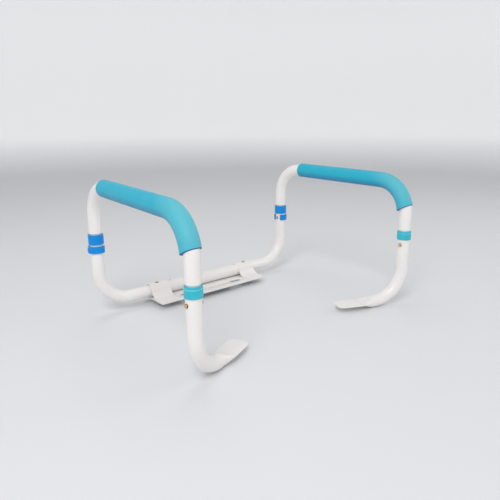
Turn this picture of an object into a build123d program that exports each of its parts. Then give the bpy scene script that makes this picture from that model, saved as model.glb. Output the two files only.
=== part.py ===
"""Toilet safety frame: two padded side rails on a bracket held by the toilet seat's hinge bolts.

Millimetres, +Z up. The origin is midway between the two hinge-bolt slots, on the bracket's
underside. -Y is towards the front of the bowl, so a seated user faces -Y and the pieces named
right_ are on the -X side. Only the right side is drawn, and the left side is its mirror image.
"""

from build123d import *

import math
import os

os.makedirs("parts", exist_ok=True)

# Tubes
TUBE_R = 12.7
TUBE_WALL = 1.2
TUBE_BORE_R = TUBE_R - TUBE_WALL
STEM_R = 11.1
STEM_BORE_R = STEM_R - TUBE_WALL

# Clearance between pieces that touch at rest
REST_GAP = 0.05

# Side rail: upright axes, the rail's corner heights and its bends
REAR_POST = (-254.0, 34.0)
FRONT_POST = (-266.5, -329.0)
REAR_CORNER_Z = 261.5
FRONT_CORNER_Z = 253.0
REAR_BEND_R = 64.0
FRONT_BEND_R = 61.0
REAR_SHOULDER_Z = 163.3
FRONT_SHOULDER_Z = 152.3
SWAGE_LENGTH = 2.4
STEM_LENGTH = 66.0

# Foam grip
GRIP_R = 16.5
GRIP_BORE_R = TUBE_R + 0.1
GRIP_SAG = 2.6
GRIP_BEND_R = 64.0
RIGHT_GRIP_REAR_Y = -28.0
LEFT_GRIP_REAR_Y = -35.0
GRIP_FRONT_Z = 201.3
GRIP_FRONT_TILT = 27.0
GRIP_EDGE = 2.0

# Rear leg, which plugs into the bracket
REAR_LEG_TOP_Z = 161.0
REAR_LEG_BEND_R = 64.0
REAR_LEG_INNER_X = -78.0

# Front leg, whose crushed end lies on the bowl's rim
FRONT_LEG_TOP_Z = 150.0
FRONT_LEG_BEND_R = 70.0
FRONT_LEG_HEADING = 25.0
CRUSH_END = 93.0
CRUSH_STEP = 0.2
CRUSH_SEAM = 0.6
STRIP_END = 150.0
STRIP_WIDTH = 39.2
STRIP_THICK = 2.6
STRIP_CORNER_R = 12.0
STRIP_Z = STRIP_THICK / 2

# Bracket
PAD_THICK = 1.5
PAD_INSET = 3.0
PLATE_THICK = 2.5
PLATE_HALF_X = 145.0
PLATE_FRONT_Y = -23.4
PLATE_REAR_Y = 58.0
PLATE_CORNER_R = 5.0
PLATE_TOP_Z = PAD_THICK + PLATE_THICK
CROSS_R = 14.3
CROSS_BORE_R = 13.0
CROSS_RECESS = 1.0
CROSS_AXIS_Z = PLATE_TOP_Z + CROSS_R
SADDLE_THICK = 1.4
SADDLE_INNER_X = -98.0
SADDLE_FRONT_BLEND_R = 20.0
SADDLE_REAR_BLEND_R = 4.0

# Slots for the toilet seat's hinge bolts
SLOT_SPACING = 140.0
SLOT_LENGTH = 30.0
SLOT_WIDTH = 11.0

# Snap buttons and their spring clips
BUTTON_R = 3.3
BUTTON_DOME = 2.0
BUTTON_TIP = 15.7
STEM_HOLE_R = 3.6
LEG_HOLE_R = 3.7
FRONT_BUTTON_Z = 123.0
REAR_BUTTON_Z = 132.0
CLIP_WIDTH = 6.0
CLIP_THICK = 0.6
CLIP_R = 9.2
CLIP_ARM = 23.0
CLIP_END_GAP = 3.4
WIDTH_BUTTON_X = -124.0
WIDTH_STEP = 32.0
WIDTH_BUTTON_TIP = 17.8
WIDTH_CLIP_R = 10.6
SADDLE_HOLE_R = 4.1

# Plastic collars
COLLAR_BORE_R = TUBE_R + REST_GAP
COLLAR_LIP_BORE_R = STEM_R + 0.3
COLLAR_LIP = 2.0
FRONT_COLLAR_R = 14.4
FRONT_COLLAR_LOW_Z = 134.0
REAR_RING_R = 15.0
REAR_RING_LOW_Z = 143.0
REAR_BAND_R = 16.25
REAR_BAND_LOW_Z = 126.0
REAR_BAND_HIGH_Z = 140.0
REAR_OPENING_BACK = 6.5
REAR_OPENING_FRONT = 10.6
REAR_BRIDGE_WIDTH = 11.0
COLLAR_EDGE = 1.2
BULGE_R = 7.0
BULGE_OUT = 17.6
BULGE_TAPER = 25.0
POCKET_R = 4.0
POCKET_OUT = 16.0

HEADING_X = math.cos(math.radians(FRONT_LEG_HEADING))
HEADING_Y = math.sin(math.radians(FRONT_LEG_HEADING))


def export_piece(name, piece):
    """Label a piece and write it under its node's name."""
    piece.part.label = name
    export_step(piece.part, f"parts/{name}.step")


def mirrored(right):
    """The mirror image of a right-hand piece."""
    with BuildPart() as left:
        mirror(right.part, about=Plane.YZ)
    return left


def export_pair(name, right):
    """Write a right-hand piece and its mirror image."""
    export_piece(f"right_{name}", right)
    export_piece(f"left_{name}", mirrored(right))


def level(post, z):
    """The horizontal plane through a post's axis at height z."""
    return Plane(origin=(post[0], post[1], z))


def across(post, z):
    """The plane through a post's axis with local x along X and local y along Z."""
    return Plane(origin=(post[0], post[1], z), x_dir=(1, 0, 0), z_dir=(0, -1, 0))


def beside(post, z, side):
    """The plane through a post's axis that looks outwards along X, side being 1 or -1."""
    return Plane(origin=(post[0], post[1], z), x_dir=(0, side, 0), z_dir=(side, 0, 0))


# ---------------------------------------------------------------- bracket


def slot_pair():
    """The two hinge-bolt slots, in the open sketch."""
    with Locations((-SLOT_SPACING / 2, 0), (SLOT_SPACING / 2, 0)):
        SlotOverall(SLOT_LENGTH, SLOT_WIDTH, mode=Mode.SUBTRACT)


def bracket_layer(low_z, thick, inset):
    """A flat layer of the bracket's outline, with the bolt slots through it."""
    middle_y = (PLATE_FRONT_Y + PLATE_REAR_Y) / 2
    depth = PLATE_REAR_Y - PLATE_FRONT_Y - 2 * inset
    with BuildPart() as layer:
        with BuildSketch(Plane.XY.offset(low_z)):
            with Locations((0, middle_y)):
                RectangleRounded(2 * (PLATE_HALF_X - inset), depth, PLATE_CORNER_R)
            slot_pair()
        extrude(amount=thick)
    return layer


def cross_tube():
    """The tube that both rear legs slide into, with two width holes on top at each end."""
    half = PLATE_HALF_X - CROSS_RECESS
    with BuildPart() as tube:
        with BuildSketch(Plane.YZ.offset(-half)):
            with Locations((REAR_POST[1], CROSS_AXIS_Z)):
                Circle(CROSS_R)
                Circle(CROSS_BORE_R, mode=Mode.SUBTRACT)
        extrude(amount=2 * half)
        hole_x = (WIDTH_BUTTON_X, WIDTH_BUTTON_X + WIDTH_STEP)
        with BuildSketch(Plane.XY.offset(CROSS_AXIS_Z)):
            with Locations(*[(s * x, REAR_POST[1]) for x in hole_x for s in (1, -1)]):
                Circle(LEG_HOLE_R)
        extrude(amount=2 * CROSS_R, mode=Mode.SUBTRACT)
    return tube


def saddle_outline(offset):
    """The saddle's section, grown by offset: over the tube, with a blend down to each flange."""
    tube_r = CROSS_R + offset
    foot_z = PLATE_TOP_Z + offset
    rise = CROSS_AXIS_Z - foot_z
    front_r = SADDLE_FRONT_BLEND_R - offset
    rear_r = SADDLE_REAR_BLEND_R - offset
    front_y = REAR_POST[1] - math.sqrt((tube_r + front_r) ** 2 - (rise - front_r) ** 2)
    rear_y = REAR_POST[1] + math.sqrt((tube_r + rear_r) ** 2 - (rise - rear_r) ** 2)
    front_share = tube_r / (tube_r + front_r)
    rear_share = tube_r / (tube_r + rear_r)
    front_touch = (
        REAR_POST[1] + (front_y - REAR_POST[1]) * front_share,
        CROSS_AXIS_Z + (foot_z + front_r - CROSS_AXIS_Z) * front_share,
    )
    rear_touch = (
        REAR_POST[1] + (rear_y - REAR_POST[1]) * rear_share,
        CROSS_AXIS_Z + (foot_z + rear_r - CROSS_AXIS_Z) * rear_share,
    )
    Line((PLATE_FRONT_Y, foot_z), (front_y, foot_z))
    RadiusArc((front_y, foot_z), front_touch, -front_r)
    ThreePointArc(front_touch, (REAR_POST[1], CROSS_AXIS_Z + tube_r), rear_touch)
    RadiusArc(rear_touch, (rear_y, foot_z), -rear_r)
    Line((rear_y, foot_z), (PLATE_REAR_Y, foot_z))


def saddle():
    """The pressed cover over one end of the cross tube, with a flange front and back."""
    with BuildPart() as cover:
        with BuildSketch(Plane.YZ.offset(-PLATE_HALF_X)):
            with BuildLine():
                saddle_outline(SADDLE_THICK)
                Line((PLATE_REAR_Y, PLATE_TOP_Z + SADDLE_THICK), (PLATE_REAR_Y, PLATE_TOP_Z))
                Line((PLATE_REAR_Y, PLATE_TOP_Z), (PLATE_FRONT_Y, PLATE_TOP_Z))
                Line((PLATE_FRONT_Y, PLATE_TOP_Z), (PLATE_FRONT_Y, PLATE_TOP_Z + SADDLE_THICK))
            make_face()
            with BuildLine(mode=Mode.PRIVATE) as under:
                saddle_outline(REST_GAP)
                Line((PLATE_REAR_Y, PLATE_TOP_Z + REST_GAP), (PLATE_REAR_Y, 0))
                Line((PLATE_REAR_Y, 0), (PLATE_FRONT_Y, 0))
                Line((PLATE_FRONT_Y, 0), (PLATE_FRONT_Y, PLATE_TOP_Z + REST_GAP))
            make_face(under.line, mode=Mode.SUBTRACT)
        extrude(amount=SADDLE_INNER_X + PLATE_HALF_X)
        outer_corners = cover.faces().sort_by(Axis.X)[0].edges().filter_by(Axis.Z)
        fillet(outer_corners, radius=PLATE_CORNER_R)
        with BuildSketch(Plane.XY.offset(CROSS_AXIS_Z)):
            with Locations((WIDTH_BUTTON_X, REAR_POST[1])):
                Circle(SADDLE_HOLE_R)
        extrude(amount=2 * CROSS_R, mode=Mode.SUBTRACT)
    return cover


# ---------------------------------------------------------------- legs


def rear_leg():
    """The bent tube from the rear collar down and in to the bracket."""
    post_top = (REAR_POST[0], REAR_POST[1], REAR_LEG_TOP_Z)
    corner = (REAR_POST[0], REAR_POST[1], CROSS_AXIS_Z)
    inner_end = (REAR_LEG_INNER_X, REAR_POST[1], CROSS_AXIS_Z)
    with BuildPart() as leg:
        with BuildLine() as route:
            FilletPolyline(post_top, corner, inner_end, radius=REAR_LEG_BEND_R)
        with BuildSketch(level(REAR_POST, REAR_LEG_TOP_Z)):
            Circle(TUBE_R)
            Circle(TUBE_BORE_R, mode=Mode.SUBTRACT)
        sweep(path=route.line)
        with BuildSketch(beside(REAR_POST, REAR_BUTTON_Z, 1)):
            Circle(LEG_HOLE_R)
        extrude(amount=2 * TUBE_R, both=True, mode=Mode.SUBTRACT)
        with BuildSketch(Plane.XY.offset(CROSS_AXIS_Z)):
            with Locations((WIDTH_BUTTON_X, REAR_POST[1])):
                Circle(STEM_HOLE_R)
        extrude(amount=2 * TUBE_R, mode=Mode.SUBTRACT)
    return leg


def heading_point(reach, z):
    """A point of the front leg's foot, at this reach from the upright's axis."""
    return (FRONT_POST[0] + reach * HEADING_X, FRONT_POST[1] + reach * HEADING_Y, z)


def foot_section(reach):
    """The plane across the front leg's foot, with local y up."""
    across_foot = (-HEADING_Y, HEADING_X, 0)
    along_foot = (HEADING_X, HEADING_Y, 0)
    return Plane(origin=heading_point(reach, STRIP_Z), x_dir=across_foot, z_dir=along_foot)


def crush(tube_r, width, thick, end, mode):
    """The ruled stretch between the round tube and the pressed-flat strip.

    Its ends are a little smaller than the tube's and the strip's, so that no edges coincide.
    """
    round_size = 2 * tube_r - CRUSH_STEP
    with BuildSketch(foot_section(FRONT_LEG_BEND_R)) as round_end:
        RectangleRounded(round_size, round_size, (round_size - CRUSH_STEP) / 2)
    with BuildSketch(foot_section(end)) as flat_end:
        RectangleRounded(width - CRUSH_STEP, thick - CRUSH_STEP / 2, thick / 4)
    loft([round_end.sketch, flat_end.sketch], ruled=True, mode=mode)


def front_leg():
    """The bent tube from the front collar down and in, pressed flat where it lies on the rim."""
    bend_top = heading_point(0, STRIP_Z + FRONT_LEG_BEND_R)
    bend_end = heading_point(FRONT_LEG_BEND_R, STRIP_Z)
    with BuildPart() as leg:
        with BuildLine() as route:
            Line(heading_point(0, FRONT_LEG_TOP_Z), bend_top)
            TangentArc(bend_top, bend_end, tangent=(0, 0, -1))
        with BuildSketch(level(FRONT_POST, FRONT_LEG_TOP_Z)):
            Circle(TUBE_R)
        sweep(path=route.line)
        crush(TUBE_R, STRIP_WIDTH, STRIP_THICK, CRUSH_END, Mode.ADD)
        with BuildSketch(foot_section(CRUSH_END)):
            Rectangle(STRIP_WIDTH, STRIP_THICK)
        extrude(amount=STRIP_END - CRUSH_END)
        end_corners = leg.edges().filter_by(Axis.Z).sort_by_distance(heading_point(STRIP_END, STRIP_Z))
        fillet(end_corners[:2], radius=STRIP_CORNER_R)
        with BuildSketch(level(FRONT_POST, FRONT_LEG_TOP_Z)):
            Circle(TUBE_BORE_R)
        sweep(path=route.line, mode=Mode.SUBTRACT)
        bore_end = CRUSH_END - STRIP_THICK
        crush(TUBE_BORE_R, STRIP_WIDTH - 2 * STRIP_THICK, CRUSH_SEAM, bore_end, Mode.SUBTRACT)
        with BuildSketch(beside(FRONT_POST, FRONT_BUTTON_Z, 1)):
            Circle(LEG_HOLE_R)
        extrude(amount=2 * TUBE_R, both=True, mode=Mode.SUBTRACT)
    return leg


# ---------------------------------------------------------------- collars


def ring(post, low_z, high_z, bore_r, outer_r):
    """A ring around a post, added to the open part."""
    with BuildSketch(level(post, low_z)) as section:
        Circle(outer_r)
        Circle(bore_r, mode=Mode.SUBTRACT)
    extrude(section.sketch, amount=high_z - low_z)


def round_rims(collar, outer_r, heights):
    """Round the collar's outer rims at these heights."""
    rims = collar.edges().filter_by(GeomType.CIRCLE)
    rims = rims.filter_by(lambda e: abs(e.radius - outer_r) < COLLAR_EDGE / 10)
    rims = rims.filter_by(lambda e: min(abs(e.center().Z - z) for z in heights) < COLLAR_EDGE / 10)
    fillet(rims, radius=COLLAR_EDGE)


def front_collar():
    """The plain collar on the front leg's mouth, whose lip guides the stem."""
    top_z = FRONT_LEG_TOP_Z + COLLAR_LIP
    with BuildPart() as collar:
        ring(FRONT_POST, FRONT_COLLAR_LOW_Z, FRONT_LEG_TOP_Z, COLLAR_BORE_R, FRONT_COLLAR_R)
        ring(FRONT_POST, FRONT_LEG_TOP_Z, top_z, COLLAR_LIP_BORE_R, FRONT_COLLAR_R)
        round_rims(collar, FRONT_COLLAR_R, (FRONT_COLLAR_LOW_Z, top_z))
    return collar


def rear_collar():
    """A closed ring on the rear leg's mouth, bridged at the back to an open band below it.

    The band's opening shows the inner button and reaches forward of it. On the outer side it bulges
    over the outer button, which is pressed through it.
    """
    top_z = REAR_LEG_TOP_Z + COLLAR_LIP
    with BuildPart() as collar:
        ring(REAR_POST, REAR_RING_LOW_Z, REAR_LEG_TOP_Z, COLLAR_BORE_R, REAR_RING_R)
        ring(REAR_POST, REAR_LEG_TOP_Z, top_z, COLLAR_LIP_BORE_R, REAR_RING_R)
        ring(REAR_POST, REAR_BAND_LOW_Z, REAR_BAND_HIGH_Z, COLLAR_BORE_R, REAR_BAND_R)
        band_rims = (REAR_BAND_LOW_Z, REAR_BAND_HIGH_Z)
        round_rims(collar, REAR_BAND_R, band_rims)
        round_rims(collar, REAR_RING_R, (top_z,))
        with BuildSketch(level(REAR_POST, REAR_BAND_HIGH_Z - COLLAR_EDGE)):
            Circle(REAR_RING_R)
            Circle(COLLAR_BORE_R, mode=Mode.SUBTRACT)
            with Locations((0, REAR_RING_R)):
                Rectangle(REAR_BRIDGE_WIDTH, REAR_RING_R, mode=Mode.INTERSECT)
        extrude(amount=REAR_RING_LOW_Z - REAR_BAND_HIGH_Z + 2 * COLLAR_EDGE)
        with BuildSketch(beside(REAR_POST, REAR_BUTTON_Z, -1).offset(COLLAR_BORE_R)):
            Circle(BULGE_R)
        extrude(amount=BULGE_OUT - COLLAR_BORE_R, taper=BULGE_TAPER)
        with BuildSketch(level(REAR_POST, REAR_BAND_LOW_Z)):
            Circle(COLLAR_BORE_R)
        extrude(amount=REAR_LEG_TOP_Z - REAR_BAND_LOW_Z, mode=Mode.SUBTRACT)
        with BuildSketch(beside(REAR_POST, REAR_BUTTON_Z, -1)):
            Circle(POCKET_R)
        extrude(amount=POCKET_OUT, mode=Mode.SUBTRACT)
        band_height = REAR_BAND_HIGH_Z - REAR_BAND_LOW_Z
        opening = REAR_OPENING_FRONT + REAR_OPENING_BACK
        with BuildSketch(beside(REAR_POST, REAR_BAND_LOW_Z + band_height / 2, 1)):
            with Locations((REAR_OPENING_BACK - opening / 2, 0)):
                Rectangle(opening, band_height + COLLAR_EDGE)
        extrude(amount=2 * REAR_BAND_R, mode=Mode.SUBTRACT)
    return collar


# ---------------------------------------------------------------- handle


def rail_route(front_sag, front_bend_r):
    """The rail's bent axis, its front upright standing front_sag behind the front leg's axis."""
    front_x = FRONT_POST[0] + front_sag * (REAR_POST[0] - FRONT_POST[0]) / (REAR_POST[1] - FRONT_POST[1])
    front = (front_x, FRONT_POST[1] + front_sag)
    return FilletPolyline(
        (*REAR_POST, REAR_SHOULDER_Z + SWAGE_LENGTH),
        (*REAR_POST, REAR_CORNER_Z),
        (*front, FRONT_CORNER_Z),
        (*front, FRONT_SHOULDER_Z + SWAGE_LENGTH),
        radius=[REAR_BEND_R, front_bend_r],
    )


def stem(post, shoulder_z):
    """The swaged end of the rail, which plugs into a leg, with its button holes."""
    profile = (
        (0, SWAGE_LENGTH),
        (TUBE_R, SWAGE_LENGTH),
        (STEM_R, 0),
        (STEM_R, -STEM_LENGTH),
        (0, -STEM_LENGTH),
    )
    bore = (
        (0, SWAGE_LENGTH),
        (TUBE_BORE_R, SWAGE_LENGTH),
        (STEM_BORE_R, 0),
        (STEM_BORE_R, -STEM_LENGTH),
        (0, -STEM_LENGTH),
    )
    with BuildSketch(across(post, shoulder_z)) as section:
        Polygon(*profile, align=None)
        Polygon(*bore, align=None, mode=Mode.SUBTRACT)
    revolve(section.sketch, axis=Axis((*post, 0), (0, 0, 1)))


def handle_tube():
    """One bent tube: rear stem, rail and front stem."""
    with BuildPart() as tube:
        with BuildLine() as route:
            rail_route(0, FRONT_BEND_R)
        with BuildSketch(level(REAR_POST, REAR_SHOULDER_Z + SWAGE_LENGTH)):
            Circle(TUBE_R)
            Circle(TUBE_BORE_R, mode=Mode.SUBTRACT)
        sweep(path=route.line)
        stem(REAR_POST, REAR_SHOULDER_Z)
        stem(FRONT_POST, FRONT_SHOULDER_Z)
        for post, z in ((REAR_POST, REAR_BUTTON_Z), (FRONT_POST, FRONT_BUTTON_Z)):
            with BuildSketch(beside(post, z, 1)):
                Circle(STEM_HOLE_R)
            extrude(amount=2 * TUBE_R, both=True, mode=Mode.SUBTRACT)
    return tube


def handle_grip(rear_y):
    """The foam sleeve along the rail and round its front bend, with a slanted front end.

    Round the bend the sleeve draws in to the inner side, so its wall is thin on the outer side.
    """
    slant = math.radians(GRIP_FRONT_TILT)
    front_end = Plane(
        origin=(*FRONT_POST, GRIP_FRONT_Z),
        x_dir=(1, 0, 0),
        z_dir=(0, math.sin(slant), math.cos(slant)),
    )
    rear_end = Plane(origin=(REAR_POST[0], rear_y, REAR_CORNER_Z), z_dir=(0, -1, 0))
    start = level(REAR_POST, REAR_SHOULDER_Z + SWAGE_LENGTH)
    with BuildPart() as grip:
        with BuildLine() as outer_route:
            rail_route(GRIP_SAG, GRIP_BEND_R)
        with BuildSketch(start) as outer:
            Circle(GRIP_R)
        sweep(outer.sketch, path=outer_route.line)
        split(bisect_by=rear_end, keep=Keep.TOP)
        split(bisect_by=front_end, keep=Keep.TOP)
        end_faces = (grip.faces().sort_by(Axis.Y)[-1], grip.faces().sort_by(Axis.Z)[0])
        fillet([face.edges() for face in end_faces], radius=GRIP_EDGE)
        with BuildLine() as bore_route:
            rail_route(0, FRONT_BEND_R)
        with BuildSketch(start) as bore:
            Circle(GRIP_BORE_R)
        sweep(bore.sketch, path=bore_route.line, mode=Mode.SUBTRACT)
    return grip


# ---------------------------------------------------------------- snap buttons


def button(plane, base, tip):
    """A domed button along the plane's normal, from base to tip."""
    with BuildPart() as knob:
        with BuildSketch(plane.offset(base)):
            Circle(BUTTON_R)
        extrude(amount=tip - base)
        tip_face = knob.faces().sort_by(Axis(plane.origin, plane.z_dir))[-1]
        fillet(tip_face.edges(), radius=BUTTON_DOME)
    return knob


def clip(plane, radius):
    """A U-shaped leaf spring: its bow at the plane's origin, its arms along the local y."""
    bore = radius - CLIP_THICK
    arm = CLIP_ARM + CLIP_END_GAP
    arms_start = (Align.CENTER, Align.MIN)
    with BuildPart() as spring:
        with BuildSketch(plane):
            Circle(radius)
            Rectangle(2 * radius, arm, align=arms_start)
            Circle(bore, mode=Mode.SUBTRACT)
            Rectangle(2 * bore, arm, align=arms_start, mode=Mode.SUBTRACT)
        extrude(amount=CLIP_WIDTH / 2, both=True)
    return spring


width_bow = Plane(
    origin=(WIDTH_BUTTON_X + CLIP_ARM, REAR_POST[1], CROSS_AXIS_Z), x_dir=(0, 0, 1), z_dir=(0, -1, 0)
)
width_hole = Plane(origin=(WIDTH_BUTTON_X, REAR_POST[1], CROSS_AXIS_Z))

export_piece("bracket_pad", bracket_layer(0, PAD_THICK, PAD_INSET))
export_piece("mounting_plate", bracket_layer(PAD_THICK, PLATE_THICK, 0))
export_piece("cross_tube", cross_tube())
export_pair("saddle", saddle())
export_pair("rear_leg", rear_leg())
export_pair("front_leg", front_leg())
export_pair("front_collar", front_collar())
export_pair("rear_collar", rear_collar())
export_pair("handle_tube", handle_tube())
export_piece("right_handle_grip", handle_grip(RIGHT_GRIP_REAR_Y))
export_piece("left_handle_grip", mirrored(handle_grip(LEFT_GRIP_REAR_Y)))
export_pair("width_button", button(width_hole, WIDTH_CLIP_R + REST_GAP, WIDTH_BUTTON_TIP))
export_pair("width_clip_spring", clip(width_bow, WIDTH_CLIP_R))
for end, post, button_z in (("front", FRONT_POST, FRONT_BUTTON_Z), ("rear", REAR_POST, REAR_BUTTON_Z)):
    export_pair(f"{end}_clip_spring", clip(across(post, button_z - CLIP_ARM), CLIP_R))
    for name, side in (("inner", 1), ("outer", -1)):
        knob = button(beside(post, button_z, side), CLIP_R + REST_GAP, BUTTON_TIP)
        export_pair(f"{end}_button_{name}", knob)
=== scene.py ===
"""Looks of the toilet safety frame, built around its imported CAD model.

Shapes are worked out in the CAD model's millimetres and frame, and turned into metres when a mesh
is made. Only the right side is drawn, and the left side is its mirror image, apart from the foam
grips, whose rear ends differ.
"""

import math

import bmesh
import bpy
from mathutils import Matrix, Vector, noise

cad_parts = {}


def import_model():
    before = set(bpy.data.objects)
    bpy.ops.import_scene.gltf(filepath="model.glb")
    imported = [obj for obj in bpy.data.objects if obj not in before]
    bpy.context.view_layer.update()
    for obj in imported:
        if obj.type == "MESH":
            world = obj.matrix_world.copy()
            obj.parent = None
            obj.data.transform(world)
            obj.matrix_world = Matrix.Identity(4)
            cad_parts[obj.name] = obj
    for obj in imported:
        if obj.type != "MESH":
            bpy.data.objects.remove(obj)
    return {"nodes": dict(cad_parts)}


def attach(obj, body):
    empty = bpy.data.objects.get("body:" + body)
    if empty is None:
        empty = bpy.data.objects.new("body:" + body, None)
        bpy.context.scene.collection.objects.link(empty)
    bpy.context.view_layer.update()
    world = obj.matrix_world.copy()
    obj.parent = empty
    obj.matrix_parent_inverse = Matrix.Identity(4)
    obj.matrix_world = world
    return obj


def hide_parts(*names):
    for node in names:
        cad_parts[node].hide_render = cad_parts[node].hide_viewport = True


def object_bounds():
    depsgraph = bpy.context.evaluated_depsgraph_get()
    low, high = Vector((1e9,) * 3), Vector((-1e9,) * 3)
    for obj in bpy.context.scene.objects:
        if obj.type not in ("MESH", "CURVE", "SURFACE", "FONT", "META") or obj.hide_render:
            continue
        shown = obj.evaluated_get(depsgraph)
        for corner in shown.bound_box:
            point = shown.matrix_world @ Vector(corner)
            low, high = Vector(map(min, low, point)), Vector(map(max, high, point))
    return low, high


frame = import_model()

cad_low, cad_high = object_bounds()

MM = 0.001

# Mesh fineness, and the distance in metres within which points are one
SEGMENTS = 72
STEP = 3.0
SAME_PLACE = 1e-7
ROUNDING_SHARE = 0.45
BEVEL_SEGMENTS = 2
BEVEL_ANGLE = math.radians(40)

# Tubes
TUBE_R = 12.7
TUBE_WALL = 1.2
TUBE_BORE_R = TUBE_R - TUBE_WALL
STEM_R = 11.1
STEM_BORE_R = STEM_R - TUBE_WALL
LIP_SOFT = 0.5
SWAGE_SOFT = 1.1

# Side rail
REAR_POST = (-254.0, 34.0)
FRONT_POST = (-266.5, -329.0)
REAR_CORNER_Z = 261.5
FRONT_CORNER_Z = 253.0
REAR_BEND_R = 64.0
FRONT_BEND_R = 61.0
REAR_SHOULDER_Z = 163.3
FRONT_SHOULDER_Z = 152.3
SWAGE_LENGTH = 2.4
STEM_LENGTH = 66.0

# Foam grip
GRIP_R = 16.5
GRIP_BORE_R = 12.8
GRIP_SAG = 2.6
GRIP_BEND_R = 64.0
GRIP_REAR_Y = {"right": -28.0, "left": -35.0}
GRIP_FRONT_Z = 201.3
GRIP_FRONT_TILT = math.radians(27)
GRIP_REAR_EDGE = 3.4
GRIP_FRONT_EDGE = 1.6
GRIP_SLANT_REACH = 34.0
GRIP_LUMP = 0.12
GRIP_LUMP_SIZE = 26.0
GRIP_WRINKLE = 0.22
GRIP_WRINKLE_PITCH = 7.5
GRIP_STEP = 2.0
GRIP_LIP = 0.25
GRIP_RIM_STEPS = 6
# Share of the front rim's rounding that carries the painted shade
GRIP_CUT_SHADE_SHARE = 0.7
OUTER_BEND_FROM = 0.45
OUTER_BEND_SPAN = 0.5
OUTER_BEND_MOST = 0.75

# Legs
REAR_LEG_TOP_Z = 161.0
REAR_LEG_BEND_R = 64.0
REAR_LEG_INNER_X = -78.0
FRONT_LEG_TOP_Z = 150.0
FRONT_LEG_BEND_R = 70.0
FRONT_LEG_HEADING = math.radians(25)
CRUSH_END = 93.0
STRIP_END = 150.0
STRIP_HALF_WIDTH = 19.6
STRIP_HALF_THICK = 1.3
STRIP_CORNER_R = 12.0
STRIP_EDGE = 0.7
FLAT_TOP_ANGLE = math.radians(26)
FLAT_SIDE_ANGLE = math.radians(6)
BORE_CLOSED_AT = 66.0
CRUSH_STEP = 1.5
STRIP_STEP = 5.0
CORNER_STEPS = 10
TIP_STEPS = (0.1, 0.03, 0)

# Bracket
PAD_THICK = 1.5
PAD_INSET = 3.0
PLATE_TOP_Z = 4.0
PLATE_HALF_X = 145.0
PLATE_FRONT_Y = -23.4
PLATE_REAR_Y = 58.0
PLATE_CORNER_R = 5.0
PLATE_EDGE = 0.5
EDGE_STEP_SHARE = 0.3
SADDLE_STEP = 5.0
SADDLE_CORNER_STEPS = 8
SADDLE_FRONT_POINTS = 12
SADDLE_TUBE_POINTS = 32
SADDLE_REAR_POINTS = 8
CROSS_R = 14.3
CROSS_BORE_R = 13.0
CROSS_RECESS = 1.0
CROSS_AXIS_Z = PLATE_TOP_Z + CROSS_R
SADDLE_THICK = 1.4
SADDLE_GAP = 0.05
SADDLE_INNER_X = -98.0
SADDLE_FRONT_BLEND_R = 20.0
SADDLE_REAR_BLEND_R = 4.0
SADDLE_EDGE = 0.35
SADDLE_HOLE_R = 4.1
SLOT_CENTRE_X = 70.0
SLOT_HALF_RUN = 9.5
SLOT_R = 5.5

# Snap buttons
BUTTON_R = 3.3
BUTTON_DOME = 2.0
BUTTON_BASE = 9.25
BUTTON_TIP = 15.7
BUTTON_STEP = 1.0
DOME_STEPS = 15
DOME_FULLNESS = 0.8
DOME_TIP_R = 0.1
# Painted dark reflection round the button dome's foot
DARK_REFLECTION_HEIGHT = 0.55
DARK_REFLECTION_FADE = 0.8
DARK_REFLECTION_MOST = 0.85
LEG_HOLE_R = 3.7
STEM_HOLE_R = 3.6
FRONT_BUTTON_Z = 123.0
REAR_BUTTON_Z = 132.0
WIDTH_BUTTON_X = -124.0
WIDTH_STEP = 32.0
WIDTH_BUTTON_BASE = 10.65
WIDTH_BUTTON_TIP = 17.8

# Collars
COLLAR_BORE_R = 12.75
COLLAR_LIP_BORE_R = 11.4
COLLAR_LIP = 2.0
COLLAR_SOFT = 1.3
FRONT_COLLAR_R = 14.4
FRONT_COLLAR_LOW_Z = 134.0
FRONT_COLLAR_CAP = 4.0
FRONT_COLLAR_CAP_R = 14.0
FRONT_COLLAR_CHAMFER = 0.5
# Strength of the painted highlight on the cap's chamfer
FRONT_COLLAR_HIGHLIGHT = 0.8
REAR_RING_R = 15.0
REAR_RING_LOW_Z = 143.0
REAR_BAND_R = 16.25
REAR_BAND_LOW_Z = 126.0
REAR_BAND_HIGH_Z = 140.0
REAR_OPENING_BACK = 6.5
REAR_OPENING_FRONT = 10.6
REAR_BRIDGE_HALF_WIDTH = 5.5
BRIDGE_OVERLAP = 1.5
BRIDGE_INSET = 0.1
BAND_SOFTER = 0.8
BAND_TURN_STEP = math.radians(3)
BAND_HEIGHT_STEP = 1.2
BULGE_HEIGHT = 1.35
BULGE_FLAT_R = 4.4
BULGE_FOOT_R = 7.6
POCKET_R = 4.0
POCKET_OUT = 16.0

HEADING = Vector((math.cos(FRONT_LEG_HEADING), math.sin(FRONT_LEG_HEADING), 0))
AXIS_X, AXIS_Y, AXIS_Z = Vector((1, 0, 0)), Vector((0, 1, 0)), Vector((0, 0, 1))


# ---------------------------------------------------------------- routes


class Line:
    """A straight part of a route."""

    def __init__(self, start, end):
        self.start = start
        self.length = (end - start).length
        self.along = (end - start).normalized()

    def at(self, s):
        """The point and the direction at length s."""
        return self.start + self.along * s, self.along


class Arc:
    """A round part of a route, which starts along its tangent."""

    def __init__(self, start, along, centre, turn):
        self.centre = centre
        self.radius = (start - centre).length
        self.out = (start - centre).normalized()
        self.along = along
        self.length = self.radius * turn

    def at(self, s):
        """The point and the direction at length s."""
        angle = s / self.radius
        out = self.out * math.cos(angle) + self.along * math.sin(angle)
        along = self.along * math.cos(angle) - self.out * math.sin(angle)
        return self.centre + out * self.radius, along


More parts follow.
